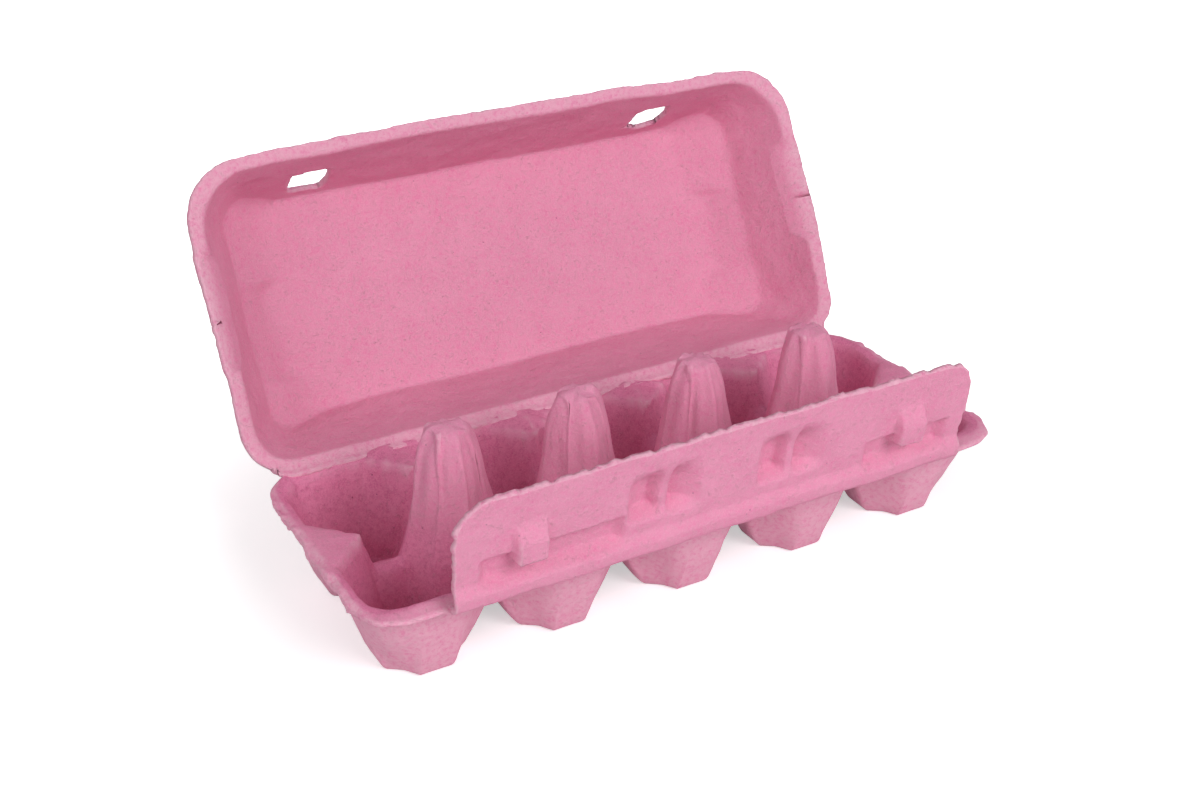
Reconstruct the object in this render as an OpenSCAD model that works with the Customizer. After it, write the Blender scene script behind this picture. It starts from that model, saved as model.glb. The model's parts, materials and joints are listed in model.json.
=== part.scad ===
// Open moulded pulp carton for ten eggs: a tray of cups, a fold-over lid and a front lock flap.
// Millimetres. X runs along the carton, -Y points to the lock flap, +Y to the lid's hinge.
// The origin is on the table, under the middle of the row of posts.

/* [Cups] */
// Number of cups along the carton, in each of the two rows
columns = 5; // [3:1:7]
// Spacing of the cups along the carton
pitch_x = 47.5; // [45:0.5:52]
// Spacing of the two rows of cups
pitch_y = 46; // [45:0.5:52]
// Length of a cup's foot along the carton
foot_x = 30; // [26:0.5:33]
// Length of a cup's foot across the carton
foot_y = 29; // [26:0.5:32]
// Straight part of the foot's two sides that face along the carton
foot_side_x = 10; // [6:0.5:14]
// Straight part of the foot's two sides that face across the carton
foot_side_y = 12; // [6:0.5:14]
// How far the foot's corners are scalloped in
scallop = 1.2; // [0:0.1:2.5]
// Rounding where the foot turns up into the wall
foot_round = 2; // [1:0.1:3]
// How far a cup's wall bulges at half height
wall_bulge = 0.8; // [0:0.1:1.5]

/* [Tray] */
// Thickness of the moulded sheet
sheet = 2; // [1.4:0.1:2.4]
// Height of the tray's rim
rim_z = 34.6; // [31:0.2:40]
// Height of the saddles between neighbouring cups
saddle_z = 20.7; // [16:0.1:24]
// Height of the posts between the two rows
post_z = 65.6; // [60:0.2:70]
// Half width of a post at its rounded top
post_top = 6.5; // [5.5:0.25:8]
// Half width of a post where its ridges run out into the saddles
post_foot = 19; // [17:0.25:20.5]
// How far the half pillars at the rim stand above it
pillar_rise = 0.7; // [0:0.1:0.8]
// Half width of the ridges that run down the posts
ridge_w = 2; // [1.6:0.1:2.6]
// Half width of the saddles
saddle_w = 4; // [3.4:0.1:5]
// Width of the rim's lip at the two ends
end_lip = 2.95; // [2:0.05:5]
// Width of the front ledge that carries the lock flap
ledge = 6.1; // [4:0.1:9]
// Width of the strip between the back cups and the lid's fold
hinge_strip = 1.4; // [1.2:0.1:4]
// Corner radius of the rim
corner_r = 14; // [8:0.5:18]

/* [Lid] */
// Angle of the open lid's rim above level
lid_open = 62.1; // [40:0.1:100]
// Height of the lid's fold line above the rim
hinge_rise = 1.25; // [1.1:0.05:2.5]
// Headroom above the posts under the closed lid
headroom = 6.5; // [4:0.25:12]
// How far the closed lid's front edge stands out past the flap's fold
front_over = 9; // [6:0.5:12]
// How far the lid's ends stand out past the tray's rim
end_over = 0.8; // [0:0.1:3]
// Bow of the lid's front edge, middle against ends
front_bow = 2.5; // [0:0.25:5]
// Width of the lid's rim lip
lid_lip = 4.5; // [3:0.25:6]
// Run-in of the end walls beside their recess, from the lip's edge to the top panel
end_slope = 36; // [30:0.5:40]
// Run-in of the end walls at the crease that runs along them
end_crease = 17; // [12:0.5:22]
// Depth of that crease below the rim, as a share of the lid's depth
crease_share = 0.72; // [0.5:0.01:0.8]
// Run-in of the front wall, from the lip's edge to the top panel
front_slope = 14; // [9:0.5:18]
// Run-in of the hinge wall, from the fold to the top panel
hinge_slope = 16; // [10:0.5:20]
// Corner radius of the lid's rim at the front
lid_r_front = 20; // [12:0.5:26]
// Corner radius of the lid's rim at the hinge
lid_r_back = 13; // [8:0.5:18]
// How much less the end walls run in at their recessed middle
end_recess = 5.5; // [0:0.5:8]
// Distance from the fold to that recess
recess_from = 32; // [28:0.5:36]
// Length of that recess
recess_len = 32; // [20:0.5:36]
// Distance from the fold to the start of the notch in each end
notch_from = 39; // [34:0.5:48]
// Length of the notch in each end
notch_len = 36; // [20:0.5:40]
// Depth of the notch in each end, from the rim
notch_deep = 7; // [4:0.5:10]

/* [Lock] */
// Distance of the flap's ends from the ends of the row of cups
flap_inset = 23.25; // [18:0.25:25]
// Height of the flap along its own slope
flap_len = 40; // [36:0.5:40]
// Outward lean of the open flap
flap_lean = 9.5; // [0:0.5:20]
// Corner radius of the flap
flap_r = 12; // [6:0.5:16]
// Depth of the hollows pressed into the flap on both sides of each rib
flap_hollow = 7; // [2:0.25:8]
// Depth of the ribs' crests below the flap's face
rib_in = 4.5; // [0:0.25:6]
// Depth of the hollows pressed in under the lock buttons
lock_hollow = 3; // [0:0.25:5]
// Height of the lock buttons above the flap's fold
button_up = 20.5; // [18:0.5:24]
// Width of a lock button
button_w = 11; // [8:0.5:14]
// How far a lock button stands out
button_out = 3.5; // [2:0.25:5]
// Length of the slots in the lid's front wall
slot_w = 16.5; // [13:0.5:24]
// Height of the slots in the lid's front wall
slot_h = 16; // [12:0.5:18]
// How far the slots sit above the buttons, which lean in with the flap
slot_rise = 3; // [0:0.25:4]

/* [Clearance] */
// Gap left at the two folds, where the sheet bends
fold_gap = 0.3; // [0.2:0.05:0.5]

/* [Hidden] */

half_x = pitch_x / 2;
half_y = pitch_y / 2;
hinge_y = pitch_y + hinge_strip;
hinge_z = rim_z + hinge_rise;
fold_y = -pitch_y - ledge;
fold_drop = 0.5;
fold_z = rim_z - fold_drop;
rim_x = columns * half_x + end_lip;
pillar_z = rim_z + pillar_rise;

// Points are kept to a ten-thousandth, so that neighbouring patches share theirs exactly
function snap(p) = [for (c = p) round(c * 10000) / 10000];
function mix(a, b, t) = a + (b - a) * t;

// The ridge line of a post or pillar: its height at distance s from the post's axis
shoulder = 2.5;
ridge_top_z = post_z - shoulder;
ridge_low_z = saddle_z + 0.8;
ridge_rate = (ridge_top_z - ridge_low_z) / (post_foot - post_top);
function ridge_z(s) = ridge_low_z + (post_foot - s) * ridge_rate;
pillar_lip = 0.8;
pillar_s = post_foot - (pillar_z - pillar_lip - ridge_low_z) / ridge_rate;

// A cup's border: each side is walked in ten steps, five from either corner.
// Corners are numbered by how many of their two sides lie on the rim:
// 0 is a post, 1 is a half pillar at the rim, 2 is a corner of the carton.
side_steps = 10;
half_steps = side_steps / 2;
straight_step = half_steps - 1;
ring_n = 4 * side_steps;
function out_dir(q) = [[1, 0], [0, 1], [-1, 0], [0, -1]][q];
function along_dir(q) = [[0, 1], [-1, 0], [0, -1], [1, 0]][q];
function out_half(q) = q % 2 == 0 ? half_x : half_y;
function along_half(q) = q % 2 == 0 ? half_y : half_x;
function on_rim(c, r, q) =
    (q == 0 && c == columns - 1) || (q == 2 && c == 0) || (q == 1 && r == 1) || (q == 3 && r == 0)
    ? 1 : 0;
function corner_kind(c, r, q) = on_rim(c, r, (q + 3) % 4) + on_rim(c, r, q % 4);

// Distance of step k from the corner
function step_s(kind, k, half) =
    let (top = kind == 0 ? post_top : pillar_s)
    k == 0 ? 0 :
    k == 1 ? top * 0.55 :
    k == 2 ? top :
    k == 3 ? (top + post_foot) / 2 :
    k == 4 ? post_foot : half;

// Height of the border at step k, on the upper face or, with e the sheet, on the under face
function border_z(kind, rim, k, e) =
    rim == 1 ? (kind == 1 && k <= 1 ? pillar_z : rim_z) - e :
    let (top_z = kind == 0 ? post_z : pillar_z, s = step_s(kind, k, 0))
    k == 0 ? top_z - e :
    k == 1 ? top_z - e - (kind == 0 ? 0.5 : 0) :
    k == 5 ? saddle_z - e :
    k == 4 ? max(ridge_low_z - 1.4 * e, saddle_z - e) :
    max(saddle_z - e, min(ridge_z(s + 1.05 * e), top_z - pillar_lip - e));

// Top of the cup's wall at step k: distance along the side, distance in from it, and height
wall_in = 2.3;
wall_drop = 1.2;
function wall_top(kind, rim, k, half, e) =
    let (
        s = step_s(kind, k, half),
        top_z = kind == 0 ? post_z : pillar_z,
        face = kind == 0 ? post_top + 0.5 : pillar_s + pillar_lip,
        ridge_in = ridge_w - 0.6 * e,
        rim_in = wall_in - 1.03 * e)
    kind == 2 && k == 0 ? [rim_in + 2.5, rim_in + 2.5, rim_z - wall_drop - e] :
    kind == 2 && k == 1 ? [s, rim_in + 0.6, rim_z - wall_drop - e] :
    k == 0 ? [face / 2 - 0.71 * e, face / 2 - 0.71 * e, top_z - wall_drop - e] :
    k == 1 && kind == 1 ? [0.75 * face - 0.71 * e, 0.25 * face - 0.71 * e, top_z - wall_drop - e] :
    rim == 1 ? [s - (k == 2 ? 1 : 0), rim_in, rim_z - wall_drop - e] :
    k == 1 ? [s - 0.4 * e, 0.46 * post_top - 0.95 * e, post_z - 2 - e] :
    k == 2 && kind == 1 ? [s - 1, ridge_in, min(ridge_z(s - 1.8 + ridge_in + 1.41 * e),
                                               pillar_z - wall_drop - e)] :
    k <= 3 ? [s, ridge_in, max(saddle_z - wall_drop - e, ridge_z(s - 0.8 + ridge_in + 1.41 * e))] :
    k == 4 ? [s, saddle_w * 0.8 - 0.9 * e, saddle_z - wall_drop - e] :
    [s, saddle_w - 1.03 * e, saddle_z - wall_drop - 0.3 - e];

// A point on side q, s along from its first or last corner and d in from it
function on_side(q, first, s, d) =
    out_dir(q) * (out_half(q) - d) + along_dir(q) * (first ? s - along_half(q) : along_half(q) - s);

// Step m of side q counts from the nearer corner
function near_k(m) = m <= half_steps ? m : side_steps - m;
function near_kind(c, r, q, m) = corner_kind(c, r, m <= half_steps ? q : q + 1);

function border_point(c, r, q, m, e) =
    let (k = near_k(m), kind = near_kind(c, r, q, m), rim = on_rim(c, r, q),
         p = on_side(q, m <= half_steps, step_s(kind, k, along_half(q)), 0))
    [p.x, p.y, border_z(kind, rim, k, e)];

function wall_point(c, r, q, m, e) =
    let (k = near_k(m), kind = near_kind(c, r, q, m), rim = on_rim(c, r, q),
         w = wall_top(kind, rim, k, along_half(q), e),
         p = on_side(q, m <= half_steps, w[0], w[1]))
    [p.x, p.y, w[2]];

// The foot's outline: an octagon with scalloped corners
foot_mid = [(foot_x + foot_side_y) / 4, (foot_side_x + foot_y) / 4];
foot_dent = foot_mid * (1 - scallop / norm(foot_mid));
function foot_point(q, m) =
    let (k = near_k(m), turn = m <= half_steps ? -1 : 1,
         long = q % 2 == 0,
         out_mid = long ? foot_dent.x : foot_dent.y,
         along_mid = long ? foot_dent.y : foot_dent.x,
         out_end = (long ? foot_x : foot_y) / 2,
         along_end = (long ? foot_side_x : foot_side_y) / 2,
         t = min(k, straight_step) / straight_step)
    out_dir(q) * mix(out_mid, out_end, t) +
    along_dir(q) * turn * (k == half_steps ? 0 : mix(along_mid, along_end, t));

foot_mean = (foot_x + foot_y) / 4;
floor_share = 0.86;
function foot_scale(e) = 1 - (sheet - e) / foot_mean;

// Rounds the carton's four corners: a square corner is drawn in to a quarter circle
function round_corner(p) =
    let (edge_y = p.y > 0 ? hinge_y - fold_gap : -fold_y - fold_gap,
         u = abs(p.x) - (rim_x - corner_r), v = abs(p.y) - (edge_y - corner_r))
    u <= 0 || v <= 0 ? p :
    let (f = max(u, v) / norm([u, v]))
    [sign(p.x) * (abs(p.x) - u + u * f), sign(p.y) * (abs(p.y) - v + v * f), p.z];

function cup_centre(c, r) = [(c - (columns - 1) / 2) * pitch_x, (r - 0.5) * pitch_y];
function placed(c, r, p) =
    let (o = cup_centre(c, r))
    snap(round_corner([p.x + o.x, p.y + o.y, p.z]));

// The rim's lip, outside the border
function lip_offset(c, r, q) =
    on_rim(c, r, q) * out_dir(q) * (q == 1 ? hinge_strip - fold_gap : q == 3 ? ledge - fold_gap : end_lip);
lip_drop = 0.7;
function lip_z(c, r, q, m) =
    let (q2 = m == 0 && on_rim(c, r, q) == 0 ? (q + 3) % 4 : q)
    m == 0 && corner_kind(c, r, q) == 2 ? rim_z - lip_drop :
    q2 == 1 ? hinge_z - 2 * fold_gap :
    q2 == 3 ? fold_z - fold_gap : rim_z - lip_drop;
function lip_point(c, r, q, m, e) =
    let (b = border_point(c, r, q, m, e),
         o = lip_offset(c, r, q) + (m == 0 ? lip_offset(c, r, (q + 3) % 4) : [0, 0]))
    [b.x + o.x, b.y + o.y, lip_z(c, r, q, m) - 0.85 * e];

// The rings of one face of a cup, from the middle of its floor to the rim's lip
ring_count = 6;
face_n = 1 + ring_count * ring_n;
function ring_point(c, r, ring, q, m, e) =
    let (f = foot_point(q, m) * foot_scale(e), w = wall_point(c, r, q, m, e), z0 = sheet - e)
    ring == 0 ? [f.x * floor_share, f.y * floor_share, z0] :
    ring == 1 ? [f.x, f.y, z0 + foot_round] :
    ring == 2 ? let (h = (f + [w.x, w.y]) / 2, g = h * (1 + wall_bulge / norm(h)))
                [g.x, g.y, (z0 + foot_round + w.z) / 2] :
    ring == 3 ? w :
    ring == 4 ? border_point(c, r, q, m, e) :
    lip_point(c, r, q, m, e);
function cup_points(c, r, e) = concat(
    [placed(c, r, [0, 0, sheet - e])],
    [for (ring = [0:ring_count - 1], q = [0:3], m = [0:side_steps - 1])
        placed(c, r, ring_point(c, r, ring, q, m, e))]);

function at(base, ring, i) = base + 1 + ring * ring_n + i % ring_n;
function turned(f, up) = up ? f : [for (i = [len(f) - 1:-1:0]) f[i]];
function cup_faces(c, r, base, up) = concat(
    [for (i = [0:ring_n - 1]) turned([base, at(base, 0, i + 1), at(base, 0, i)], up)],
    [for (ring = [0:3], i = [0:ring_n - 1], half = [0, 1])
        turned(half == 0
            ? [at(base, ring, i), at(base, ring, i + 1), at(base, ring + 1, i + 1)]
            : [at(base, ring, i), at(base, ring + 1, i + 1), at(base, ring + 1, i)], up)],
    [for (q = [0:3], m = [0:side_steps - 1], half = [0, 1])
        let (i = q * side_steps + m)
        if (on_rim(c, r, q) == 1)
            turned(half == 0
                ? [at(base, 4, i), at(base, 4, i + 1), at(base, 5, i + 1)]
                : [at(base, 4, i), at(base, 5, i + 1), at(base, 5, i)], up)]);
// The narrow edge of the lip, between the upper and the under face
function edge_faces(c, r, base, base2) =
    [for (q = [0:3], m = [0:side_steps - 1], half = [0, 1])
        let (i = q * side_steps + m)
        if (on_rim(c, r, q) == 1)
            half == 0
            ? [at(base, 5, i), at(base, 5, i + 1), at(base2, 5, i + 1)]
            : [at(base, 5, i), at(base2, 5, i + 1), at(base2, 5, i)]];

module tray() {
    cups = [for (r = [0, 1], c = [0:columns - 1]) [c, r]];
    points = [for (cup = cups, e = [0, sheet]) each cup_points(cup[0], cup[1], e)];
    faces = [for (n = [0:len(cups) - 1])
        let (c = cups[n][0], r = cups[n][1], base = 2 * n * face_n)
        each concat(cup_faces(c, r, base, true), cup_faces(c, r, base + face_n, false),
                    edge_faces(c, r, base, base + face_n))];
    color("hotpink") polyhedron(points, faces, convexity = 10);
}

// The lid is drawn lying open and level: u along X, v along Y from the fold, depth w down
lid_x = rim_x + end_over;
lid_len = hinge_y - fold_y + front_over;
lid_depth = post_z + headroom - hinge_z;
lock_x = (columns / 2 - 1) * pitch_x;
recess_to = recess_from + recess_len;
recess_ramp = 2;
hinge_lip = 2.2;
arc_steps = 4;
front_steps = 8;
back_steps = 4;

// One ring of the lid: t runs from the inner edge of the lip, 0, to the top panel, 1
function end_run(t) = t < crease_share
    ? mix(lid_lip, end_crease, t / crease_share)
    : mix(end_crease, end_slope, (t - crease_share) / (1 - crease_share));
function ring_box(t, extra) = [
    lid_x - end_run(t) + extra,
    fold_gap + mix(hinge_lip, hinge_slope, t) - extra,
    lid_len - mix(lid_lip, front_slope, t) + extra,
    mix(lid_r_front - lid_lip, 8, t),
    mix(lid_r_back - hinge_lip, 6, t),
    front_bow * (1 - t)];
lip_box = [lid_x, fold_gap, lid_len, lid_r_front, lid_r_back, front_bow];

function arc(cx, cy, r, a0) = [for (i = [0:arc_steps])
    let (a = a0 + 90 * i / arc_steps) [cx + r * cos(a), cy + r * sin(a)]];
// The right-hand end of a ring, from the hinge to the front; push moves its recessed middle out
function end_points(b, push) = [
    [b[0], recess_from - recess_ramp], [b[0] + push, recess_from + recess_ramp],
    [b[0] + push, (recess_from + recess_to) / 2],
    [b[0] + push, recess_to - recess_ramp], [b[0], recess_to + recess_ramp]];
function bowed(p, b) = [p.x, p.y - (p.y > lid_len / 2 ? b[5] * pow(p.x / b[0], 2) : 0)];
function half_ring(b, push) = concat(
    arc(b[0] - b[4], b[1] + b[4], b[4], -90),
    end_points(b, push),
    arc(b[0] - b[3], b[2] - b[3], b[3], 0),
    [for (i = [1:front_steps / 2]) [mix(b[0] - b[3], 0, 2 * i / front_steps), b[2]]]);
function flip(points) = [for (i = [len(points) - 1:-1:0]) [-points[i].x, points[i].y]];
function lid_ring(b, push, w) =
    let (right = half_ring(b, push), left = flip(right),
         whole = concat(right, [for (i = [1:len(left) - 1]) left[i]],
             [for (i = [1:back_steps - 1]) [mix(b[4] - b[0], b[0] - b[4], i / back_steps), b[1]]]))
    [for (p = whole) let (q = bowed(p, b)) [q.x, q.y, -w]];

// The rings of the inner face, e = 0, or of the outer face, e = sheet
lip_dip = 0.8;
edge_t = 0.94;
function lid_rings(e) = [
    lid_ring(lip_box, 0, 0.9 * e),
    lid_ring(ring_box(0, 0.85 * e), 0, lip_dip + 0.9 * e),
    lid_ring(ring_box(crease_share, 0.8 * e), 0, crease_share * lid_depth + 0.55 * e),
    lid_ring(ring_box(edge_t, 0.7 * e), edge_t * end_recess, edge_t * lid_depth + 0.7 * e),
    lid_ring(ring_box(1, 0.4 * e - 1), end_recess, lid_depth + e)];

function ring_faces(n, count, base, up) = [for (k = [0:count - 2], i = [0:n - 1], half = [0, 1])
    let (a = base + k * n + i, b = base + k * n + (i + 1) % n)
    turned(half == 0 ? [a, b, b + n] : [a, b + n, a + n], up)];

module lid_sheet() {
    inner = lid_rings(0);
    outer = lid_rings(sheet);
    n = len(inner[0]);
    rings = len(inner);
    middles = [for (z = [-lid_depth, -lid_depth - sheet]) [0, lid_len / 2, z]];
    all_points = concat([for (ring = concat(inner, outer)) each ring], middles);
    base = rings * n;
    faces = concat(
        ring_faces(n, rings, 0, false),
        ring_faces(n, rings, base, true),
        [for (i = [0:n - 1]) [2 * base, base - n + (i + 1) % n, base - n + i]],
        [for (i = [0:n - 1]) [2 * base + 1, 2 * base - n + i, 2 * base - n + (i + 1) % n]],
        [for (i = [0:n - 1], half = [0, 1])
            let (a = i, b = (i + 1) % n)
            half == 0 ? [a, b, base + a] : [b, base + b, base + a]]);
    polyhedron([for (p = all_points) snap(p)], faces, convexity = 6);
}

// One slot, cut square through the sloping front wall
front_tilt = atan((front_slope - lid_lip) / (lid_depth - lip_dip));
slot_depth = fold_z + button_up + slot_rise - hinge_z;
module lid_slot() {
    run = lid_lip + (slot_depth - lip_dip) * tan(front_tilt);
    cut = slot_h * 0.35;
    outline = [
        [-slot_w / 2, cut - slot_h / 2], [cut - slot_w / 2, -slot_h / 2],
        [slot_w / 2 - cut, -slot_h / 2], [slot_w / 2, cut - slot_h / 2],
        [slot_w / 2, slot_h / 2 - cut], [slot_w / 2 - cut, slot_h / 2],
        [cut - slot_w / 2, slot_h / 2], [-slot_w / 2, slot_h / 2 - cut]];
    translate([0, lid_len - run, -slot_depth]) rotate([90 - front_tilt, 0, 0])
        linear_extrude(6 * sheet, center = true) polygon(outline);
}

module lid() {
    notch_run = end_slope;
    color("hotpink")
        translate([0, hinge_y, hinge_z]) rotate([lid_open, 0, 0]) difference() {
            lid_sheet();
            for (side = [-1, 1]) {
                translate([side * lock_x, 0, 0]) lid_slot();
                translate([side * (lid_x + notch_run / 2 - lid_lip - notch_deep), notch_from, -notch_deep])
                    translate([-notch_run / 2, 0, 0]) cube([notch_run, notch_len, 2 * notch_deep]);
            }
        }
}

// The flap is drawn upright: X along, s up from the fold, its outer face to -Y
flap_x = columns * half_x - flap_inset;
posts_x = [for (j = [0:columns - 2]) (j - (columns - 2) / 2) * pitch_x];
flap_rows = 10;
rib_w = 4;
hollow_w = 24;
lock_hollow_w = 40;
rib_from = 11;
rib_end = 12;
press_soft = 4;
button_half = 5;
function ramp(a, b, v) = let (t = min(1, max(0, (v - a) / (b - a)))) t * t * (3 - 2 * t);
function window(a, b, soft, v) = ramp(a - soft, a, v) * (1 - ramp(b, b + soft, v));
band_out = 2;
band_top = 7;
function relief(x, s) =
    let (
        near = [for (p = posts_x) if (abs(x - p) < half_x) x - p],
        dx = len(near) > 0 ? abs(near[0]) : half_x,
        lock = abs(abs(x) - lock_x) < half_x,
        band = band_out * window(2.5, band_top - 2.5, 2.5, s),
        hollow = lock
            ? lock_hollow * window(rib_from - 1, button_up - press_soft, press_soft, s)
                * (1 - ramp(lock_hollow_w / 4, lock_hollow_w / 2, dx))
            : window(rib_from, flap_len - rib_end, press_soft, s) * (dx < rib_w / 2 + 0.5 ? rib_in
                : flap_hollow * (1 - ramp(rib_w / 2 + 3, hollow_w / 2, dx))),
        button = lock ? window(button_up - button_half, button_up + button_half, 2, s)
            * (1 - ramp(button_w / 2 - 1, button_w / 2 + 1, dx)) : 0)
    band + button_out * button - hollow;

station_offsets = [for (side = [-1, 1]) each
    let (list = [20, hollow_w / 2, 8, button_w / 2 + 1, button_w / 2 - 1, rib_w / 2])
    [for (i = [0:5]) side * list[side < 0 ? i : 5 - i]]];
flap_stations = concat([-flap_x], [for (p = posts_x) each [for (d = station_offsets) p + d]], [flap_x]);
function flap_point(x, s, e) =
    let (u = abs(x) - (flap_x - flap_r), v = s - (flap_len - flap_r),
         f = u <= 0 || v <= 0 ? 1 : max(u, v) / norm([u, v]),
         px = u <= 0 || v <= 0 ? x : sign(x) * (flap_x - flap_r + u * f),
         ps = u <= 0 || v <= 0 ? s : flap_len - flap_r + v * f)
    snap([px, -relief(x, s) - e, ps]);

module lock_flap() {
    nx = len(flap_stations);
    ny = flap_rows + 1;
    heights = [for (j = [0:flap_rows]) mix(fold_gap, flap_len, j / flap_rows)];
    points = [for (e = [0, sheet], s = heights, x = flap_stations) flap_point(x, s, e)];
    size = nx * ny;
    border = concat(
        [for (i = [0:nx - 2]) i], [for (j = [0:ny - 2]) j * nx + nx - 1],
        [for (i = [nx - 1:-1:1]) (ny - 1) * nx + i], [for (j = [ny - 1:-1:1]) j * nx]);
    faces = concat(
        [for (side = [0, 1], j = [0:ny - 2], i = [0:nx - 2], half = [0, 1])
            let (a = side * size + j * nx + i)
            turned(half == 0 ? [a, a + 1, a + nx + 1] : [a, a + nx + 1, a + nx], side == 0)],
        [for (i = [0:len(border) - 1], half = [0, 1])
            let (a = border[i], b = border[(i + 1) % len(border)])
            half == 0 ? [b, a, size + a] : [b, size + a, size + b]]);
    color("hotpink") translate([0, fold_y, fold_z]) rotate([flap_lean, 0, 0])
        polyhedron(points, faces, convexity = 6);
}

tray();
lid();
lock_flap();
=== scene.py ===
# %% [markdown]
# An open egg carton of moulded pulp
#
# The real carton is one sheet. A felt of wet paper fibres is sucked onto a wire mould and dried, so no
# corner on it is sharp, its two faces run side by side about 2 mm apart, and its trimmed edges are torn
# and hairy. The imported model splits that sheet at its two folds, into a tray, a lid and a lock flap.
# This script keeps those three places and sizes, and gives each piece the surface of real pulp.

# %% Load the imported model
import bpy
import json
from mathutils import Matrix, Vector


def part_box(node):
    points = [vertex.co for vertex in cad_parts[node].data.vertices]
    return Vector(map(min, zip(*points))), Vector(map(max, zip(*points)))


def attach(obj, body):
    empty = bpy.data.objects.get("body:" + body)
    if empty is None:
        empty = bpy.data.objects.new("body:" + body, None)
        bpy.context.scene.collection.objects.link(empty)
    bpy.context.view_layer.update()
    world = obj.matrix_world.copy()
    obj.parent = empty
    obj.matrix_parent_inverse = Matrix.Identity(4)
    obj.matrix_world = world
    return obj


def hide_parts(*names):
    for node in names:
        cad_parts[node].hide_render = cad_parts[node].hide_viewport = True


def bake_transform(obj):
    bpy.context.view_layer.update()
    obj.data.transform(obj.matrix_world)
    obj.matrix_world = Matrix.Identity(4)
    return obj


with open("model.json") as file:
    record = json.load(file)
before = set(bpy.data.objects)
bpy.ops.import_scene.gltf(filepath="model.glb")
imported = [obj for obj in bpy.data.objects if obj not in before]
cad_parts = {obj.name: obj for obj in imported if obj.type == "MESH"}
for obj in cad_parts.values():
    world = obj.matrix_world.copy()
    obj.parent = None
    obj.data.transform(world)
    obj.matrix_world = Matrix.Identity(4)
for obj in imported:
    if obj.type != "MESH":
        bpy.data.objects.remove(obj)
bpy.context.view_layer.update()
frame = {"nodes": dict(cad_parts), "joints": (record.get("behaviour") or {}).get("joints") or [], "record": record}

# %% What the other cells use
import json
import math

import bmesh
import bpy
from mathutils import Matrix, Vector, noise

MM = 0.001
SHEET = 2.0 * MM
scene = bpy.context.scene

# Blender seeds its noise from the clock, so a fixed seed gives the same sheet on each run
noise.seed_set(7)


def mix(a, b, t):
    """From a at t = 0 to b at t = 1."""
    return a + (b - a) * t


def ramp(start, end, value):
    """0 before start, 1 after end, and a soft step between them."""
    t = min(1.0, max(0.0, (value - start) / (end - start)))
    return t * t * (3.0 - 2.0 * t)


def window(start, end, soft, value):
    """1 between start and end, falling to 0 over the soft width outside them."""
    return ramp(start - soft, start, value) * (1.0 - ramp(end, end + soft, value))


def along(stations, value):
    """Reads a list of (value, result) pairs as one broken line."""
    for (v0, r0), (v1, r1) in zip(stations, stations[1:]):
        if value <= v1:
            return mix(r0, r1, max(0.0, (value - v0) / (v1 - v0)))
    return stations[-1][1]


# %% [markdown]
# The frame says where the folds are
#
# The two joints carry the fold lines, and the lid's mount carries the direction that its top panel
# faces. From these the script makes one matrix for each leaf. In the lid's own space the lid lies open
# and level, with the fold along X. In the flap's own space the flap stands upright. Shapes are then
# written in plain lengths, and the matrix puts them in place.

# %% Fold lines and leaf spaces
joints = {joint["name"]: joint for joint in frame["joints"]}
mounts = {mount["name"]: mount for mount in frame["record"]["mounts"]}
hinge = Vector(joints["lid_hinge"]["pos_m"])
fold = Vector(joints["flap_fold"]["pos_m"])
panel_normal = Vector(mounts["lid_top"]["axis"])
lid_open = math.atan2(panel_normal.y, -panel_normal.z)
flap_lean = math.radians(9.5)

lid_space = Matrix.Translation(hinge) @ Matrix.Rotation(lid_open, 4, "X")
flap_space = Matrix.Translation(fold) @ Matrix.Rotation(flap_lean, 4, "X")


def corners_in(space, node):
    """Lowest and highest corner of a CAD node in a leaf's own space."""
    back = space.inverted()
    places = [back @ vertex.co for vertex in frame["nodes"][node].data.vertices]
    return [Vector([pick(p[k] for p in places) for k in range(3)]) for pick in (min, max)]


lid_low, lid_high = corners_in(lid_space, "lid")
flap_high = corners_in(flap_space, "lock_flap")[1]
lid_half = lid_high.x
lid_reach = lid_high.y
lid_depth = -lid_low.z - SHEET
flap_half = flap_high.x
flap_top = flap_high.z
print(f"lid {2000 * lid_half:.1f} by {1000 * lid_reach:.1f} mm, {1000 * lid_depth:.1f} mm deep inside")
print(f"flap {2000 * flap_half:.1f} by {1000 * flap_top:.1f} mm")
print(f"lid open {math.degrees(lid_open):.1f} degrees")

# %% [markdown]
# The camera
#
# The photograph was taken from the front left, a little above the carton. The camera was fitted to the
# cups, the posts and the rim, whose spacing is known, which gives its direction, distance and lens.

# %% Camera
view_azimuth = math.radians(-29.38)
view_elevation = math.radians(28.03)
view_roll = math.radians(-0.21)
view_target = Vector((-15.0, 0.0, 59.2)) * MM
view_distance = 534.1 * MM
focal_pixels = 1583.9
photo_width = 1200

camera_data = bpy.data.cameras.new("camera")
camera_data.sensor_width = 36.0
camera_data.lens = focal_pixels / photo_width * camera_data.sensor_width
camera = bpy.data.objects.new("camera", camera_data)
turn = (Matrix.Rotation(view_azimuth, 4, "Z") @ Matrix.Rotation(math.pi / 2 - view_elevation, 4, "X")
        @ Matrix.Rotation(view_roll, 4, "Z"))
backwards = turn.to_3x3() @ Vector((0.0, 0.0, 1.0))
camera.matrix_world = Matrix.Translation(view_target + backwards * view_distance) @ turn
scene.collection.objects.link(camera)
scene.camera = camera
print(f"lens {camera_data.lens:.1f} mm, camera at {[round(1000 * c) for c in camera.location]} mm")

# %% [markdown]
# Maths on shader sockets
#
# A finish is a graph of nodes. Written out node by node it hides its own formula, so a small class
# wraps a socket and lets Python's + - * / build the Math nodes. Everything else is made by one method
# that takes the node's type, its settings and the values or links of its sockets.


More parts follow.
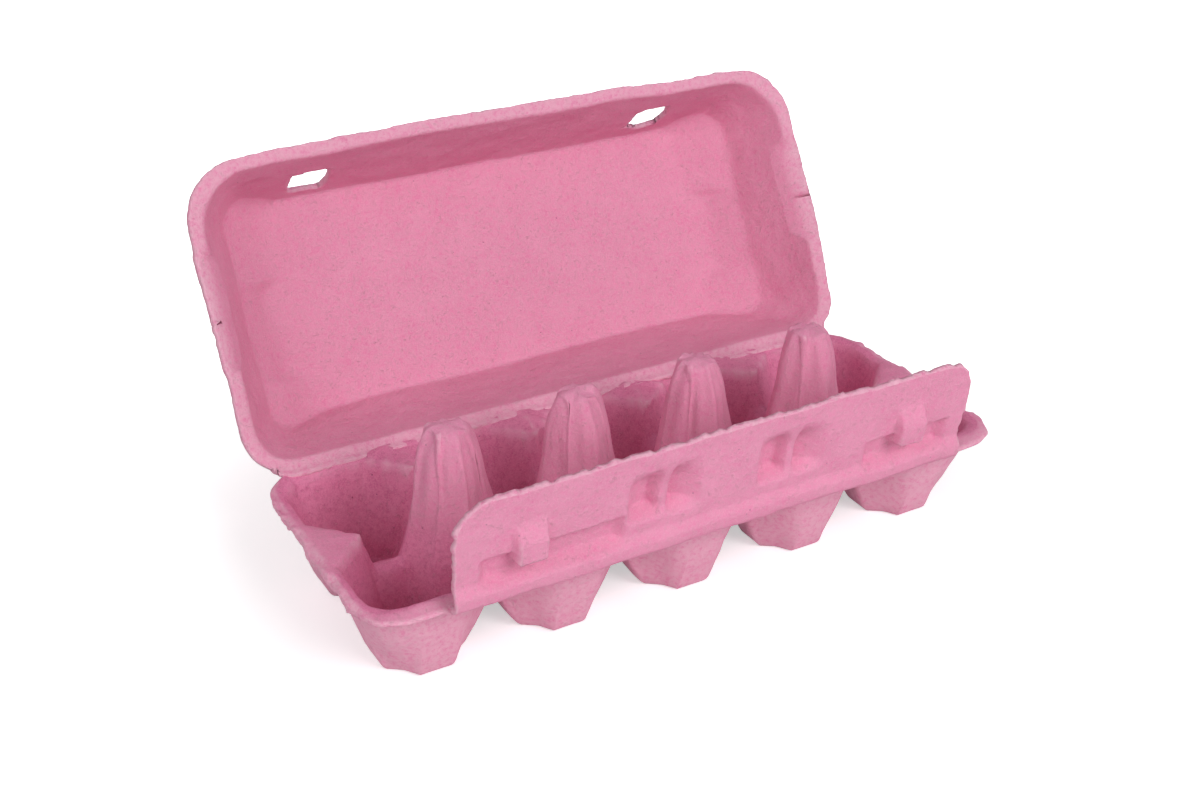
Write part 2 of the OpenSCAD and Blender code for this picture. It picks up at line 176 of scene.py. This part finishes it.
# %% The finish helper
class Wire:
    """One output socket. Arithmetic on it adds Math nodes to its finish."""

    def __init__(self, finish, socket):
        self.finish = finish
        self.socket = socket

    def math(self, operation, *values):
        return self.finish.node("ShaderNodeMath", {"operation": operation}, dict(enumerate(values)))

    def __add__(self, other):
        return self.math("ADD", self, other)

    def __sub__(self, other):
        return self.math("SUBTRACT", self, other)

    def __rsub__(self, other):
        return self.math("SUBTRACT", other, self)

    def __mul__(self, other):
        return self.math("MULTIPLY", self, other)

    def __abs__(self):
        return self.math("ABSOLUTE", self)

    def step(self, start, end):
        """A soft step from 0 at start to 1 at end."""
        return self.finish.node("ShaderNodeMapRange", {"interpolation_type": "SMOOTHSTEP"},
                                {"Value": self, "From Min": start, "From Max": end})

    __radd__ = __add__
    __rmul__ = __mul__


class Finish:
    """A material under construction."""

    def __init__(self, name):
        self.material = bpy.data.materials.new(name)
        self.material.use_nodes = True
        self.tree = self.material.node_tree
        self.tree.nodes.clear()

    def node(self, kind, settings=None, values=None, output=0):
        made = self.tree.nodes.new(kind)
        for key, value in (settings or {}).items():
            setattr(made, key, value)
        for key, value in (values or {}).items():
            if isinstance(value, Wire):
                self.tree.links.new(value.socket, made.inputs[key])
            else:
                made.inputs[key].default_value = value
        return Wire(self, made.outputs[output] if made.outputs else None)

    def cloud(self, where, size, detail=3.0, roughness=0.6):
        """Fractal noise whose lumps are about size across, from 0 to 1."""
        return self.node("ShaderNodeTexNoise", None,
                         {"Vector": where, "Scale": 1.0 / size, "Detail": detail, "Roughness": roughness})

    def blend(self, share, first, second):
        """One colour to another by share."""
        mixer = self.tree.nodes.new("ShaderNodeMix")
        mixer.data_type = "RGBA"
        for socket, value in (("Factor_Float", share), ("A_Color", first), ("B_Color", second)):
            target = next(one for one in mixer.inputs if one.identifier == socket)
            if isinstance(value, Wire):
                self.tree.links.new(value.socket, target)
            else:
                target.default_value = value
        return Wire(self, next(one for one in mixer.outputs if one.identifier == "Result_Color"))

    def close(self, shader):
        self.node("ShaderNodeOutputMaterial", None, {"Surface": shader})
        return self.material


def colour(red, green, blue):
    """A colour given as it looks on screen, 0 to 255, in the linear values that a shader needs."""
    linear = [((c / 255 + 0.055) / 1.055) ** 2.4 if c > 10 else c / 3294.6 for c in (red, green, blue)]
    return (*linear, 1.0)


# %% [markdown]
# Dyed pulp
#
# Recycled paper pulp is dyed in the vat, so its pink goes through the sheet, and it is never even. It
# shows clouds where the felt is thicker, short fibres that catch the light, and a few dark specks of
# old print. Broken edges and the wire side of the felt are paler, because loose fibres scatter light
# there. The pieces carry a painted attribute for that, which on the tray's upper posts also holds
# painted light. Everything else reads Object coordinates, so that it sits still in the sheet. A bump
# from the same mottle and fibres gives the surface its grain.

# %% Pulp finish
PINK = colour(224, 126, 166)
PINK_PALE = colour(234, 152, 184)
PINK_DEEP = colour(204, 104, 144)
# Pale pink of frayed fibres, also used as painted light on the tray's upper posts
PINK_FRAYED_AND_PAINTED_LIGHT = colour(238, 180, 200)
SPECK = colour(120, 62, 84)


def pulp_finish():
    pulp = Finish("dyed pulp")
    where = pulp.node("ShaderNodeTexCoord", output=3)
    clouds = pulp.cloud(where, 14 * MM, 4.0)
    mottle = pulp.cloud(where, 1.8 * MM, 4.0, 0.75)
    grain = pulp.cloud(where, 0.55 * MM, 3.0, 0.7)
    strands = pulp.cloud(where, 2.4 * MM, 2.0, 0.5)
    fibres = 1.0 - abs(strands - 0.5).step(0.0, 0.016)
    broken = fibres * mottle.step(0.5, 0.62)
    cells = pulp.tree.nodes.new("ShaderNodeTexVoronoi")
    cells.inputs["Scale"].default_value = 1.0 / (6.5 * MM)
    pulp.tree.links.new(where.socket, cells.inputs["Vector"])
    spots = 1.0 - Wire(pulp, cells.outputs["Distance"]).step(0.025, 0.055)
    frayed_and_painted_light = pulp.node("ShaderNodeAttribute", {"attribute_name": "frayed_and_painted_light"}, output=2)

    body = pulp.blend(clouds.step(0.35, 0.65) * 0.4, PINK, PINK_PALE)
    body = pulp.blend(mottle.step(0.4, 0.66) * 0.65, body, PINK_DEEP)
    body = pulp.blend(grain.step(0.45, 0.65) * 0.6, body, PINK_PALE)
    body = pulp.blend(broken * 0.6, body, PINK_FRAYED_AND_PAINTED_LIGHT)
    body = pulp.blend(spots * 0.7, body, SPECK)
    # The attribute's paler pink is frayed fibre, and on the tray's upper posts it is painted light.
    body = pulp.blend(frayed_and_painted_light * mottle.step(0.25, 0.6), body, PINK_FRAYED_AND_PAINTED_LIGHT)

    relief = mottle * 0.55 + grain * 0.3 + broken * 0.25
    bump = pulp.node("ShaderNodeBump", None, {"Strength": 1.0, "Distance": 0.6 * MM, "Height": relief})
    return pulp.close(pulp.node("ShaderNodeBsdfPrincipled", None, {
        "Base Color": body, "Roughness": 0.86 + grain * 0.1, "Specular IOR Level": 0.22, "Normal": bump}))


pulp_material = pulp_finish()
print("finish:", pulp_material.name, len(pulp_material.node_tree.nodes), "nodes")

# %% [markdown]
# From mesh to sheet
#
# The shapes are made in bmesh, and a Subdivision Surface or a Solidify modifier is turned into plain
# mesh. The felt is crumpled too. A smooth random vector moves both faces of the sheet together, as
# drying does, and a finer one roughens it. The tray is crumpled after its modifier, the lid and the
# flap before theirs.


# %% Sheet helpers
def piece_from(shape, name):
    """A new object from a bmesh."""
    mesh = bpy.data.meshes.new(name)
    shape.to_mesh(mesh)
    shape.free()
    piece = bpy.data.objects.new(name, mesh)
    scene.collection.objects.link(piece)
    return piece


def settle(piece):
    """Turns the piece's modifiers into plain mesh."""
    bpy.context.view_layer.update()
    graph = bpy.context.evaluated_depsgraph_get()
    mesh = bpy.data.meshes.new_from_object(piece.evaluated_get(graph))
    old = piece.data
    piece.modifiers.clear()
    piece.data = mesh
    mesh.name = piece.name
    bpy.data.meshes.remove(old)


def drift(place, size, seed):
    """A smooth random vector that changes over a distance of size."""
    return noise.noise_vector(place / size + Vector((seed, 2.0 * seed, 3.0 * seed)))


def paint_frayed_and_painted_light(piece, extra=None):
    """Marks the convex edges, where loose fibres make the pulp paler, and adds the paleness that extra gives,
    which on the tray includes painted light on the upper posts.
    """
    shape = bmesh.new()
    shape.from_mesh(piece.data)
    shape.normal_update()
    sharp = []
    for vertex in shape.verts:
        near = [edge.other_vert(vertex).co for edge in vertex.link_edges]
        middle = sum(near, Vector()) / len(near)
        size = sum((one - vertex.co).length for one in near) / len(near)
        sharp.append((vertex.co - middle).dot(vertex.normal) / max(size, 1e-6))
    for _ in range(2):
        sharp = [0.5 * sharp[vertex.index] + 0.5 * sum(sharp[edge.other_vert(vertex).index]
                 for edge in vertex.link_edges) / len(vertex.link_edges) for vertex in shape.verts]
    values = [ramp(0.05, 0.32, value) for value in sharp]
    if extra:
        values = [max(value, extra(vertex.co, vertex.normal)) for value, vertex in zip(values, shape.verts)]
    shape.free()
    layer = piece.data.attributes.new("frayed_and_painted_light", "FLOAT", "POINT")
    layer.data.foreach_set("value", values)


def dress(piece, body, node):
    """Gives a finished piece smooth faces and its finish, hides the CAD node it stands for, and attaches it to its
    body when one is given.
    """
    for polygon in piece.data.polygons:
        polygon.use_smooth = True
    piece.data.materials.clear()
    piece.data.materials.append(pulp_material)
    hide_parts(node)
    if body:
        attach(piece, body)
    triangles = sum(len(polygon.vertices) - 2 for polygon in piece.data.polygons)
    print(f"{piece.name}: {triangles} triangles")


# %% [markdown]
# The tray
#
# The tray's ten cups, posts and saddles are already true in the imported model, as flat facets. Its
# triangles are joined back into four-sided faces, which a Subdivision Surface rounds the way wet felt
# rounds on its mould. Sharper turns keep more of their edge by a crease, so the flat feet still stand
# on the table. Rounding makes the posts slim, and they are widened again toward their tops.

# %% Tray surface
tray_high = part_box("tray")[1]
post_pitch = 47.5 * MM
post_places = [(number - 1.5) * post_pitch for number in range(4)]
saddle_level = 20.7 * MM
crease_strength = 0.72
wrinkle_height = 1.3 * MM
post_widening = 2.3 * MM


def faceted_copy(node):
    """A merged copy of a CAD node's mesh, with its triangles joined in pairs."""
    shape = bmesh.new()
    shape.from_mesh(frame["nodes"][node].data)
    bmesh.ops.remove_doubles(shape, verts=shape.verts, dist=0.01 * MM)
    bmesh.ops.join_triangles(shape, faces=shape.faces, cmp_seam=False, cmp_sharp=False, cmp_uvs=False,
                             cmp_vcols=False, cmp_materials=False, angle_face_threshold=math.radians(80),
                             angle_shape_threshold=math.radians(80))
    return shape


def crease_turns(shape):
    """Lets the rounding keep more of an edge the more sharply the sheet turns there."""
    layer = shape.edges.layers.float.new("crease_edge")
    for edge in shape.edges:
        edge[layer] = crease_strength * ramp(0.2, 0.9, edge.calc_face_angle(0.0))


def post_wrinkle(place):
    """Streaks that run down the posts and the half pillars at the hinge."""
    high = ramp(saddle_level + 3 * MM, saddle_level + 14 * MM, place.z)
    if high == 0.0:
        return 0.0
    post = min(post_places, key=lambda x: abs(place.x - x))
    at_hinge = place.y > 30 * MM
    across = Vector((place.x - post, place.y - (hinge.y if at_hinge else 0.0), 0.0))
    if across.length > 22 * MM or (not at_hinge and across.y < -24 * MM):
        return 0.0
    heading = across.normalized() * 3.2
    streak = noise.noise(Vector((heading.x + 40 * post, heading.y, place.z / (26 * MM))))
    return high * streak


def post_fullness(place):
    """Widens the posts toward their broad, rounded tops."""
    post = min(post_places, key=lambda x: abs(place.x - x))
    across = Vector((place.x - post, place.y, 0.0))
    if place.z < saddle_level + 10 * MM or across.length > 16 * MM:
        return Vector()
    full = ramp(saddle_level + 10 * MM, tray_high.z - 6 * MM, place.z) * ramp(0.0, 2.5 * MM, across.length)
    return across.normalized() * (post_widening * full)


def crumpled_tray(place, normal):
    """Where a place on the smooth tray lies once the pulp has dried."""
    standing = ramp(0.0, 5 * MM, place.z)
    moved = place + drift(place, 16 * MM, 1) * (0.55 * MM * standing)
    moved += drift(place, 5 * MM, 2) * (0.28 * MM * mix(0.3, 1.0, standing))
    moved += normal * (post_wrinkle(place) * wrinkle_height)
    moved += post_fullness(place)
    end = ramp(tray_high.x - 3.5 * MM, tray_high.x, abs(place.x)) * ramp(28 * MM, 33 * MM, place.z)
    moved += drift(place, 6 * MM, 3) * (0.9 * MM * end) + drift(place, 2.4 * MM, 4) * (0.6 * MM * end)
    moved.z = max(moved.z, 0.0)
    return moved


def reshape(piece, move):
    """Moves every vertex of a piece to move(place, normal)."""
    places = [vertex.co.copy() for vertex in piece.data.vertices]
    normals = [vertex.normal.copy() for vertex in piece.data.vertices]
    moved = [move(place, normal) for place, normal in zip(places, normals)]
    piece.data.vertices.foreach_set("co", [value for place in moved for value in place])
    piece.data.update()


tray_shape = faceted_copy("tray")
crease_turns(tray_shape)
print("tray facets:", len(tray_shape.faces), "four-sided:", sum(len(f.verts) == 4 for f in tray_shape.faces))
tray = piece_from(tray_shape, "pulp_tray")
rounding = tray.modifiers.new("rounding", "SUBSURF")
rounding.levels = 2
rounding.render_levels = 2
settle(tray)
reshape(tray, crumpled_tray)


def tray_pale(place, normal):
    """The wire side of the felt, outside the cups, is hairier and paler than the side in them. The upper posts are
    paler too, which is painted light where the light falls on them.
    """
    cup_x = post_pitch * max(-2, min(2, round(place.x / post_pitch)))
    cup_y = math.copysign(post_pitch / 2, place.y)
    away = Vector((place.x - cup_x, place.y - cup_y, 0.0))
    outside = 0.85 * ramp(-0.1, 0.4, away.normalized().dot(normal))
    # Painted light: the middle posts are painted paler toward their tops, for the light that falls on them.
    post = 0.4 * ramp(saddle_level + 5 * MM, saddle_level + 20 * MM, place.z) * (abs(place.y) < 18 * MM)
    return max(outside, post)


paint_frayed_and_painted_light(tray, tray_pale)
dress(tray, "tray", "tray")

# %% [markdown]
# The lid
#
# The lid is a shallow tub. A grid is wrapped once round it: one way counts steps round the rim, the
# other way counts rows. The first rows are the web at the hinge, which runs from the tray's rim to the
# lid's and has no width elsewhere. The next ones run over the lip, down the wall and in to the middle
# of the top panel. Each row knows how far it stands in from the rim at the hinge, ends and front.

# %% Lid outline
round_steps = 230
web_rows = 4
lip_rows = 5
wall_rows = 38
panel_rows = 34
leg_shares = (0.323, 0.060, 0.223, 0.092, 0.302)
lip_share = 0.11
lip_dip = 0.8 * MM
notch_start = 39 * MM
notch_end = 75 * MM
notch_deep = 7 * MM
recess_start = 32 * MM
recess_end = 64 * MM
front_bow = 2.5 * MM
notch_soft = 2.2 * MM
web_inset = 3.4 * MM
web_drop = 0.95 * MM
knee_inset = 0.9 * MM
knee_drop = 0.35 * MM

# Distance in from the rim, against the share of the way from the rim's edge to the panel
end_runs = [(0.0, 0.0), (lip_share, 4.5), (0.74, 17.0), (0.95, 32.0), (1.0, 36.0)]
front_runs = [(0.0, 0.0), (lip_share, 4.5), (1.0, 14.0)]
hinge_runs = [(0.0, 0.0), (lip_share, 2.2), (1.0, 16.0)]
depth_runs = [(0.0, 0.0), (lip_share, lip_dip), (1.0, lid_depth)]
recess_runs = [(0.0, 0.0), (0.74, 0.0), (0.95, 5.2), (1.0, 5.5)]


def half_outline(a, half, near, far, r_near, r_far):
    """A point on the right half of a rounded oblong: a is 0 at the hinge's middle, 1 at the front's."""
    leg = 0
    while leg < 4 and a > leg_shares[leg]:
        a -= leg_shares[leg]
        leg += 1
    t = a / leg_shares[leg]
    if leg == 0:
        return Vector((t * (half - r_near), near))
    if leg == 2:
        return Vector((half, mix(near + r_near, far - r_far, t)))
    if leg == 4:
        return Vector(((1.0 - t) * (half - r_far), far))
    radius = r_near if leg == 1 else r_far
    middle_y = near + r_near if leg == 1 else far - r_far
    angle = math.pi / 2 * (t - 1.0 if leg == 1 else t)
    return Vector((half - radius + radius * math.cos(angle), middle_y + radius * math.sin(angle)))


def lid_place(a, share):
    """A place on the lid's inner face, in its own space, for the right half and share from 0 to 1."""
    inset = along(end_runs, share) * MM
    near = 0.3 * MM + along(hinge_runs, share) * MM
    far = lid_reach - along(front_runs, share) * MM
    flat = half_outline(a, lid_half - inset, near, far, mix(13, 6, share) * MM, mix(20, 8, share) * MM)
    if share > 0.5 and flat.x > 0.6 * lid_half:
        flat.x += along(recess_runs, share) * MM * window(recess_start, recess_end, 3 * MM, flat.y)
    if flat.y > lid_reach / 2:
        flat.y -= front_bow * (1.0 - share) * (flat.x / lid_half) ** 2
    return Vector((flat.x, flat.y, -along(depth_runs, share)))


def web_place(rim, reach):
    """A place on the web of pulp from the lid's rim, at reach 0, onto the tray's rim, at reach 1."""
    on_tray = lid_space.inverted() @ Vector((rim.x, hinge.y - web_inset, hinge.z - web_drop))
    knee = lid_space.inverted() @ Vector((rim.x, hinge.y - knee_inset, hinge.z - knee_drop))
    bent = mix(rim, knee, 2.0 * reach) if reach < 0.5 else mix(knee, on_tray, 2.0 * reach - 1.0)
    width = 1.0 - ramp(lid_half - 12 * MM, lid_half - 7 * MM, abs(rim.x))
    return mix(rim, bent, width if rim.y < 5 * MM else 0.0)


def lid_vertex(step, row):
    a = step / round_steps
    side = 1.0 if a <= 0.5 else -1.0
    a = 2.0 * a if a <= 0.5 else 2.0 * (1.0 - a)
    row -= web_rows
    if row < 0:
        place = web_place(lid_place(a, 0.0), -row / web_rows)
        return Vector((side * place.x, place.y, place.z))
    share = min(1.0, lip_share * row / lip_rows if row < lip_rows
                else mix(lip_share, 1.0, (row - lip_rows) / wall_rows))
    place = lid_place(a, share)
    cut_share = lip_share + (1.0 - lip_share) * notch_deep / lid_depth
    if share < 0.5 and place.x > 0.8 * lid_half:
        cut = window(notch_start, notch_end, notch_soft, place.y)
        place = lid_place(a, mix(share, mix(cut_share, 0.5, share / 0.5), cut))
    inward = (row - lip_rows - wall_rows) / panel_rows
    if inward > 0.0:
        centre = Vector((0.0, mix(16 * MM, lid_reach - 14 * MM, 0.5), place.z))
        place = mix(place, centre, inward)
    return Vector((side * place.x, place.y, place.z))


# %% Lid sheet
def wrapped_lid():
    rows = web_rows + lip_rows + wall_rows + panel_rows
    shape = bmesh.new()
    bmesh.ops.create_grid(shape, x_segments=2 * round_steps, y_segments=rows, size=1.0)
    for vertex in shape.verts:
        step = round((vertex.co.x + 1.0) / 2.0 * 2 * round_steps)
        row = round((vertex.co.y + 1.0) / 2.0 * rows)
        vertex.co = lid_vertex(step / 2.0, row)
    bmesh.ops.remove_doubles(shape, verts=shape.verts, dist=0.01 * MM)
    inner = [vertex for vertex in shape.verts if not vertex.is_boundary]
    for _ in range(3):
        bmesh.ops.smooth_vert(shape, verts=inner, factor=0.5,
                              use_axis_x=True, use_axis_y=True, use_axis_z=True)
    shape.normal_update()
    upward = sum(face.normal.z * face.calc_area() for face in shape.faces)
    if upward < 0.0:
        bmesh.ops.reverse_faces(shape, faces=shape.faces)
    return shape


lid_shape = wrapped_lid()
print("lid sheet:", len(lid_shape.faces), "faces")

# %% [markdown]
# The two slots for the lock buttons
#
# The slots are punched through the front wall and their edges tear a little. The faces inside the
# outline are removed, and the vertices left on the edge are pulled onto the outline.

# %% Lid slots
slot_outlines = {
    "left": [(-78.1, 31.1), (-79.5, 16.5), (-71.0, 14.2), (-65.0, 15.7), (-63.4, 26.1), (-64.7, 32.3)],
    "right": [(62.5, 27.5), (61.9, 17.3), (64.9, 12.5), (76.0, 12.8), (78.5, 21.8), (77.1, 29.9),
              (70.0, 30.8)],
}


def inside(point, outline):
    """True where the point (u, w) is inside the outline."""
    u, w = point
    odd = False
    for (u0, w0), (u1, w1) in zip(outline, outline[1:] + outline[:1]):
        if (w0 > w) != (w1 > w) and u < u0 + (w - w0) / (w1 - w0) * (u1 - u0):
            odd = not odd
    return odd


def nearest_on(point, outline):
    """The nearest point of the outline."""
    best = None
    for start, end in zip(outline, outline[1:] + outline[:1]):
        start, end = Vector(start), Vector(end)
        run = end - start
        t = min(1.0, max(0.0, (Vector(point) - start).dot(run) / run.length_squared))
        spot = start + run * t
        if best is None or (spot - Vector(point)).length < (best - Vector(point)).length:
            best = spot
    return best


def punch_slots(shape):
    def on_wall(place):
        return place.y > 90 * MM and -place.z > 8 * MM and -place.z < 35 * MM

    for outline in slot_outlines.values():
        gone = [face for face in shape.faces if on_wall(face.calc_center_median())
                and inside((face.calc_center_median().x / MM, -face.calc_center_median().z / MM), outline)]
        bmesh.ops.delete(shape, geom=gone, context="FACES")
    for vertex in shape.verts:
        if vertex.is_boundary and on_wall(vertex.co):
            outline = slot_outlines["left" if vertex.co.x < 0 else "right"]
            spot = nearest_on((vertex.co.x / MM, -vertex.co.z / MM), outline)
            vertex.co.x = spot.x * MM
            vertex.co.z = -spot.y * MM


punch_slots(lid_shape)
print("lid sheet with slots:", len(lid_shape.faces), "faces")


# %% Lid finish
def crumple_lid(shape):
    for vertex in shape.verts:
        place = vertex.co.copy()
        free = ramp(0.0, 6 * MM, place.y)
        vertex.co += drift(place, 30 * MM, 11) * 0.8 * MM * free
        vertex.co += drift(place, 9 * MM, 12) * 0.35 * MM * free
        vertex.co += drift(place, 3.5 * MM, 13) * 0.16 * MM
        if vertex.is_boundary:
            torn = ramp(-0.1, 0.5, noise.noise(place / (11 * MM)))
            chips = drift(place, 2.6 * MM, 14) * 0.55 * MM * torn
            vertex.co += chips + drift(place, 1.2 * MM, 15) * 0.25 * MM


def lid_pale(place, normal):
    """The lip's fibrous strip, and the wire side of the felt behind the lid."""
    local = lid_space.inverted() @ place
    outside = 0.45 * ramp(-0.2, 0.3, -normal.dot(panel_normal))
    lip = 0.75 * ramp(-2.0 * MM, -1.2 * MM, local.z)
    return max(outside, lip)


crumple_lid(lid_shape)
bmesh.ops.transform(lid_shape, matrix=lid_space, verts=lid_shape.verts)
lid = piece_from(lid_shape, "pulp_lid")
wall = lid.modifiers.new("sheet", "SOLIDIFY")
wall.thickness = SHEET
wall.offset = -1.0
settle(lid)
paint_frayed_and_painted_light(lid, lid_pale)
dress(lid, None, "lid")
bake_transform(lid)

# %% [markdown]
# The lock flap
#
# The flap is a stiff strip with a rounded fold along its foot. Two ribs with hollows beside them stand
# either side of its middle, and two buttons stand out near its ends, each over a hollow of its own.

# %% Flap relief
rib_places = (-23.75 * MM, 23.75 * MM)
button_places = (-71.25 * MM, 71.25 * MM)
band_height = 2.0 * MM
button_height = 3.6 * MM
lock_hollow_depth = 3.2 * MM
flap_foot = -3.0 * MM


# Depth of a rib's hollow in mm, against the distance from the rib's middle in mm
rib_profile = [(-13.6, 0.0), (-11.4, 3.6), (-7.0, 6.0), (-3.8, 6.2), (-1.2, 1.8), (1.2, 1.8), (3.6, 6.0),
               (6.5, 4.6), (13.0, 0.0)]
lock_hollows = ((-84 * MM, -41 * MM), (57 * MM, 86 * MM))


def flap_relief(x, up):
    """How far the flap's outer face stands out at a place, less its thickness."""
    band = band_height * window(2.0 * MM, 5.0 * MM, 4.0 * MM, up)
    rib = min(rib_places, key=lambda place: abs(x - place))
    tall = ramp(12.6 * MM, 16.6 * MM, up) * (1.0 - ramp(24.0 * MM, 34.0 * MM, up))
    hollow = MM * tall * (along(rib_profile, (x - rib) / MM) if abs(x - rib) < 13.6 * MM else 0.0)
    button = min(button_places, key=lambda place: abs(x - place))
    pad = ramp(13.2 * MM, 14.6 * MM, up) * (1.0 - ramp(21 * MM, 29 * MM, up)) * (
        1.0 - ramp(4.6 * MM, 5.8 * MM, abs(x - button)))
    low = lock_hollow_depth * ramp(5.5 * MM, 9.5 * MM, up) * (1.0 - ramp(16.4 * MM, 18.0 * MM, up))
    low *= max(window(start, stop, 4 * MM, x) for start, stop in lock_hollows) * (1.0 - pad)
    return band + button_height * pad - hollow - low


def flap_vertex(x, up):
    u = abs(x) - (flap_half - 12 * MM)
    v = up - (flap_top - 12 * MM)
    if u > 0.0 and v > 0.0:
        pull = max(u, v) / math.hypot(u, v)
        x = math.copysign(flap_half - 12 * MM + u * pull, x)
        up = flap_top - 12 * MM + v * pull
    if up >= 0.0:
        return Vector((x, -flap_relief(x, up) - SHEET, up))
    wrap = up / flap_foot
    angle = wrap * math.radians(100)
    out = -SHEET * math.cos(angle) + 1.5 * MM * ramp(0.6, 1.0, wrap)
    return Vector((x, out, -1.15 * SHEET * math.sin(angle)))


# %% Flap sheet
def pressed_flap():
    columns, rows = 300, 66
    shape = bmesh.new()
    bmesh.ops.create_grid(shape, x_segments=columns, y_segments=rows, size=1.0)
    for vertex in shape.verts:
        vertex.co = flap_vertex(vertex.co.x * flap_half, mix(flap_foot, flap_top, (vertex.co.y + 1.0) / 2.0))
    shape.normal_update()
    outward = sum(face.normal.y * face.calc_area() for face in shape.faces)
    if outward > 0.0:
        bmesh.ops.reverse_faces(shape, faces=shape.faces)
    for vertex in shape.verts:
        place = vertex.co.copy()
        vertex.co += drift(place, 14 * MM, 21) * 0.5 * MM + drift(place, 4 * MM, 22) * 0.2 * MM
        if vertex.is_boundary and place.z > 3 * MM:
            vertex.co += drift(place, 3.0 * MM, 23) * 0.4 * MM + drift(place, 1.3 * MM, 24) * 0.25 * MM
    return shape


flap_shape = pressed_flap()
bmesh.ops.transform(flap_shape, matrix=flap_space, verts=flap_shape.verts)
flap = piece_from(flap_shape, "pulp_lock_flap")
wall = flap.modifiers.new("sheet", "SOLIDIFY")
wall.thickness = SHEET
wall.offset = -1.0
settle(flap)
paint_frayed_and_painted_light(flap, lambda place, normal: 0.4 * ramp(-0.2, 0.3, -normal.y))
dress(flap, None, "lock_flap")
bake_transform(flap)

# %% [markdown]
# Light and floor
#
# The photograph is lit from the front right on a white table. A weaker lamp stands at the front left,
# and one behind for views from the back. The floor is white to the camera, through a little
# glow of its own that only camera rays see, so that it keeps the soft grey shadow under the cups.
# The glow grows away from the carton, which leaves the shadow only beside the feet.



# %% Floor
def seen_white(finish):
    """1 for the rays that should find pure white: camera, glossy and transmission rays."""
    rays = finish.tree.nodes.new("ShaderNodeLightPath")
    through = (Wire(finish, rays.outputs[name]) for name in ("Is Glossy Ray", "Is Transmission Ray"))
    return sum(through, Wire(finish, rays.outputs["Is Camera Ray"]))


floor_shape = bmesh.new()
bmesh.ops.create_grid(floor_shape, x_segments=1, y_segments=1, size=3.0)
floor = piece_from(floor_shape, "floor")
floor_glow = 0.5
white_table = Finish("white table")
floor_place = white_table.node("ShaderNodeTexCoord", output=3)
away = white_table.node("ShaderNodeVectorMath", {"operation": "LENGTH"}, {0: floor_place}, output=1)
seen = seen_white(white_table)
matt = white_table.node("ShaderNodeBsdfDiffuse", None, {"Color": (0.82, 0.82, 0.82, 1.0)})
glow_strength = seen * (floor_glow + away.step(0.13, 0.25) * 0.6)
glow = white_table.node("ShaderNodeEmission", None, {"Color": (1.0, 1.0, 1.0, 1.0), "Strength": glow_strength})
both = white_table.node("ShaderNodeAddShader", None, {0: matt, 1: glow})
floor.data.materials.append(white_table.close(both))
print("floor:", len(white_table.tree.nodes), "nodes")

# %% World and lamps
world = bpy.data.worlds.new("studio")
world.use_nodes = True
world.node_tree.nodes.clear()
studio = Finish.__new__(Finish)
studio.tree = world.node_tree
seen = seen_white(studio)
sky_strength = 0.2
sky = studio.node("ShaderNodeBackground", None, {"Color": (1.0, 1.0, 1.0, 1.0),
                                                 "Strength": seen * (1.0 - sky_strength) + sky_strength})
studio.node("ShaderNodeOutputWorld", None, {"Surface": sky})
scene.world = world


def lamp(name, azimuth, elevation, distance, size, power):
    """A square soft box that looks at the carton."""
    data = bpy.data.lights.new(name, "AREA")
    data.size = size
    data.energy = power
    box = bpy.data.objects.new(name, data)
    turn = (Matrix.Rotation(math.radians(azimuth), 4, "Z")
            @ Matrix.Rotation(math.radians(90 - elevation), 4, "X"))
    place = turn.to_3x3() @ Vector((0, 0, distance)) + Vector((0, 0, 0.05))
    box.matrix_world = Matrix.Translation(place) @ turn
    scene.collection.objects.link(box)


lamp("key", 16, 34, 1.7, 0.9, 17.5)
lamp("fill", -55, 28, 1.7, 1.2, 9.5)
lamp("back", 190, 45, 1.7, 1.2, 6.0)
scene.view_settings.view_transform = "Standard"
